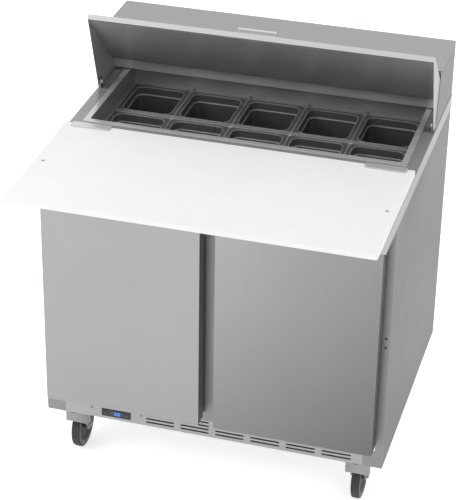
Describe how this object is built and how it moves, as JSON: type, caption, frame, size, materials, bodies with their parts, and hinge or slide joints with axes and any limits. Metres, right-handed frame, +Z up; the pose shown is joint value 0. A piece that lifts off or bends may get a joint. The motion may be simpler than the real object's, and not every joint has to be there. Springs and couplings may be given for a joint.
{
  "type": "sandwich prep table",
  "caption": "Refrigerated sandwich prep table on casters, with hinged doors, a hinged lid over a rail of food pans, a rear hood and a cutting board along the front.",
  "frame": {"origin": "on the floor under the middle of the bounding box", "axes": "+X to the right as seen from the doors' side, +Y towards the back, +Z up"},
  "size_m": [0.916, 0.934, 1.1517],
  "materials": {
    "steel": "brushed",
    "bright_steel": "bright brushed",
    "dark_steel": "dark",
    "foam": "cellular",
    "board": "matt",
    "black_plastic": "satin",
    "gasket": "matt",
    "tyre": "matt",
    "copper": "satin",
    "lens": "gloss",
    "zinc": "zinc plated",
    "black_enamel": "enamel"
  },
  "bodies": {
    "cabinet": {"cabinet_shell": "steel", "insulation": "foam", "liner": "steel", "worktop": "steel", "well_trim": "bright_steel", "pan_well": "steel", "divider_bar": "bright_steel", "rear_hood": "steel", "front_grille": "steel", "grille_screws": "zinc", "controller_body": "black_plastic", "controller_display": "lens", "lid_brackets": "zinc", "board_pins": "zinc", "board_clips": "bright_steel", "door_hinges": "zinc", "shelf_supports": "zinc", "compressor": "black_enamel", "condenser_coil": "steel", "condenser_fan_frame": "zinc", "evaporator": "steel", "refrigerant_lines": "copper", "cord_gland": "black_plastic", "caster_plates": "zinc"},
    "lid": {"lid_shell": "steel", "lid_core": "foam", "lid_liner": "dark_steel", "lid_handle": "bright_steel", "lid_pins": "zinc"},
    "board": {"cutting_board": "board"},
    "left_door": {"left_door_skin": "steel", "left_door_core": "foam", "left_door_gasket": "gasket"},
    "right_door": {"right_door_skin": "steel", "right_door_core": "foam", "right_door_gasket": "gasket"},
    "left_shelf": {"left_shelf": "zinc"},
    "right_shelf": {"right_shelf": "zinc"},
    "left_button": {"button_left": "black_plastic"},
    "right_button": {"button_right": "black_plastic"},
    "condenser_fan": {"condenser_fan_blade": "black_plastic"},
    "evaporator_fan": {"evaporator_fan_blade": "black_plastic"},
    "pan_front_1": {"pan_front_1": "steel"},
    "pan_front_2": {"pan_front_2": "steel"},
    "pan_front_3": {"pan_front_3": "steel"},
    "pan_front_4": {"pan_front_4": "steel"},
    "pan_front_5": {"pan_front_5": "steel"},
    "pan_rear_1": {"pan_rear_1": "steel"},
    "pan_rear_2": {"pan_rear_2": "steel"},
    "pan_rear_3": {"pan_rear_3": "steel"},
    "pan_rear_4": {"pan_rear_4": "steel"},
    "pan_rear_5": {"pan_rear_5": "steel"},
    "front_left_fork": {"front_left_fork": "zinc"},
    "front_left_wheel": {"front_left_wheel": "tyre"},
    "front_right_fork": {"front_right_fork": "zinc"},
    "front_right_wheel": {"front_right_wheel": "tyre"},
    "rear_left_fork": {"rear_left_fork": "zinc"},
    "rear_left_wheel": {"rear_left_wheel": "tyre"},
    "rear_right_fork": {"rear_right_fork": "zinc"},
    "rear_right_wheel": {"rear_right_wheel": "tyre"}
  },
  "joints": [
    {"name": "lid_hinge", "type": "hinge", "parent": "cabinet", "child": "lid", "pos_m": [0, 0.226, 0.9145], "axis": [1, 0, 0], "range_deg": [0, 72.3]},
    {"name": "left_door_hinge", "type": "hinge", "parent": "cabinet", "child": "left_door", "pos_m": [-0.425, -0.259, 0.5365], "axis": [0, 0, -1], "range_deg": [0, 110], "stiffness_Nm_per_rad": 1.2, "springref_deg": -17.19},
    {"name": "right_door_hinge", "type": "hinge", "parent": "cabinet", "child": "right_door", "pos_m": [0.425, -0.259, 0.5365], "axis": [0, 0, 1], "range_deg": [0, 110], "stiffness_Nm_per_rad": 1.2, "springref_deg": -17.19},
    {"name": "board_tip", "type": "hinge", "parent": "cabinet", "child": "board", "pos_m": [0, -0.0355, 0.9048], "axis": [-1, 0, 0], "range_deg": [0, 4]},
    {"name": "left_shelf_lift", "type": "slide", "parent": "cabinet", "child": "left_shelf", "axis": [0, 0, 1], "range_m": [0, 0.02]},
    {"name": "right_shelf_lift", "type": "slide", "parent": "cabinet", "child": "right_shelf", "axis": [0, 0, 1], "range_m": [0, 0.02]},
    {"name": "pan_front_1_lift", "type": "slide", "parent": "cabinet", "child": "pan_front_1", "axis": [0, 0, -1], "range_m": [-0.16, 0]},
    {"name": "pan_front_2_lift", "type": "slide", "parent": "cabinet", "child": "pan_front_2", "axis": [0, 0, -1], "range_m": [-0.16, 0]},
    {"name": "pan_front_3_lift", "type": "slide", "parent": "cabinet", "child": "pan_front_3", "axis": [0, 0, -1], "range_m": [-0.16, 0]},
    {"name": "pan_front_4_lift", "type": "slide", "parent": "cabinet", "child": "pan_front_4", "axis": [0, 0, -1], "range_m": [-0.16, 0]},
    {"name": "pan_front_5_lift", "type": "slide", "parent": "cabinet", "child": "pan_front_5", "axis": [0, 0, -1], "range_m": [-0.16, 0]},
    {"name": "pan_rear_1_lift", "type": "slide", "parent": "cabinet", "child": "pan_rear_1", "axis": [0, 0, -1], "range_m": [-0.045, 0]},
    {"name": "pan_rear_2_lift", "type": "slide", "parent": "cabinet", "child": "pan_rear_2", "axis": [0, 0, -1], "range_m": [-0.045, 0]},
    {"name": "pan_rear_3_lift", "type": "slide", "parent": "cabinet", "child": "pan_rear_3", "axis": [0, 0, -1], "range_m": [-0.045, 0]},
    {"name": "pan_rear_4_lift", "type": "slide", "parent": "cabinet", "child": "pan_rear_4", "axis": [0, 0, -1], "range_m": [-0.045, 0]},
    {"name": "pan_rear_5_lift", "type": "slide", "parent": "cabinet", "child": "pan_rear_5", "axis": [0, 0, -1], "range_m": [-0.045, 0]},
    {"name": "left_button_press", "type": "slide", "parent": "cabinet", "child": "left_button", "axis": [0, 1, 0], "range_m": [0, 0.0008], "stiffness_N_per_m": 400, "springref_m": -0.0004},
    {"name": "right_button_press", "type": "slide", "parent": "cabinet", "child": "right_button", "axis": [0, 1, 0], "range_m": [0, 0.0008], "stiffness_N_per_m": 400, "springref_m": -0.0004},
    {"name": "condenser_fan_spin", "type": "hinge", "parent": "cabinet", "child": "condenser_fan", "pos_m": [0.14, 0.282, 0.2835], "axis": [0, 1, 0], "continuous": true},
    {"name": "evaporator_fan_spin", "type": "hinge", "parent": "cabinet", "child": "evaporator_fan", "pos_m": [0.05, 0.325, 0.6535], "axis": [0, 1, 0], "continuous": true},
    {"name": "front_left_swivel", "type": "hinge", "parent": "cabinet", "child": "front_left_fork", "pos_m": [-0.387, -0.187, 0.0985], "axis": [0, 0, 1], "continuous": true},
    {"name": "front_left_roll", "type": "hinge", "parent": "front_left_fork", "child": "front_left_wheel", "pos_m": [-0.387, -0.152, 0.0635], "axis": [1, 0, 0], "continuous": true},
    {"name": "front_right_swivel", "type": "hinge", "parent": "cabinet", "child": "front_right_fork", "pos_m": [0.387, -0.187, 0.0985], "axis": [0, 0, 1], "continuous": true},
    {"name": "front_right_roll", "type": "hinge", "parent": "front_right_fork", "child": "front_right_wheel", "pos_m": [0.387, -0.152, 0.0635], "axis": [1, 0, 0], "continuous": true},
    {"name": "rear_left_swivel", "type": "hinge", "parent": "cabinet", "child": "rear_left_fork", "pos_m": [-0.387, 0.363, 0.0985], "axis": [0, 0, 1], "continuous": true},
    {"name": "rear_left_roll", "type": "hinge", "parent": "rear_left_fork", "child": "rear_left_wheel", "pos_m": [-0.387, 0.398, 0.0635], "axis": [1, 0, 0], "continuous": true},
    {"name": "rear_right_swivel", "type": "hinge", "parent": "cabinet", "child": "rear_right_fork", "pos_m": [0.387, 0.363, 0.0985], "axis": [0, 0, 1], "continuous": true},
    {"name": "rear_right_roll", "type": "hinge", "parent": "rear_right_fork", "child": "rear_right_wheel", "pos_m": [0.387, 0.398, 0.0635], "axis": [1, 0, 0], "continuous": true}
  ]
}
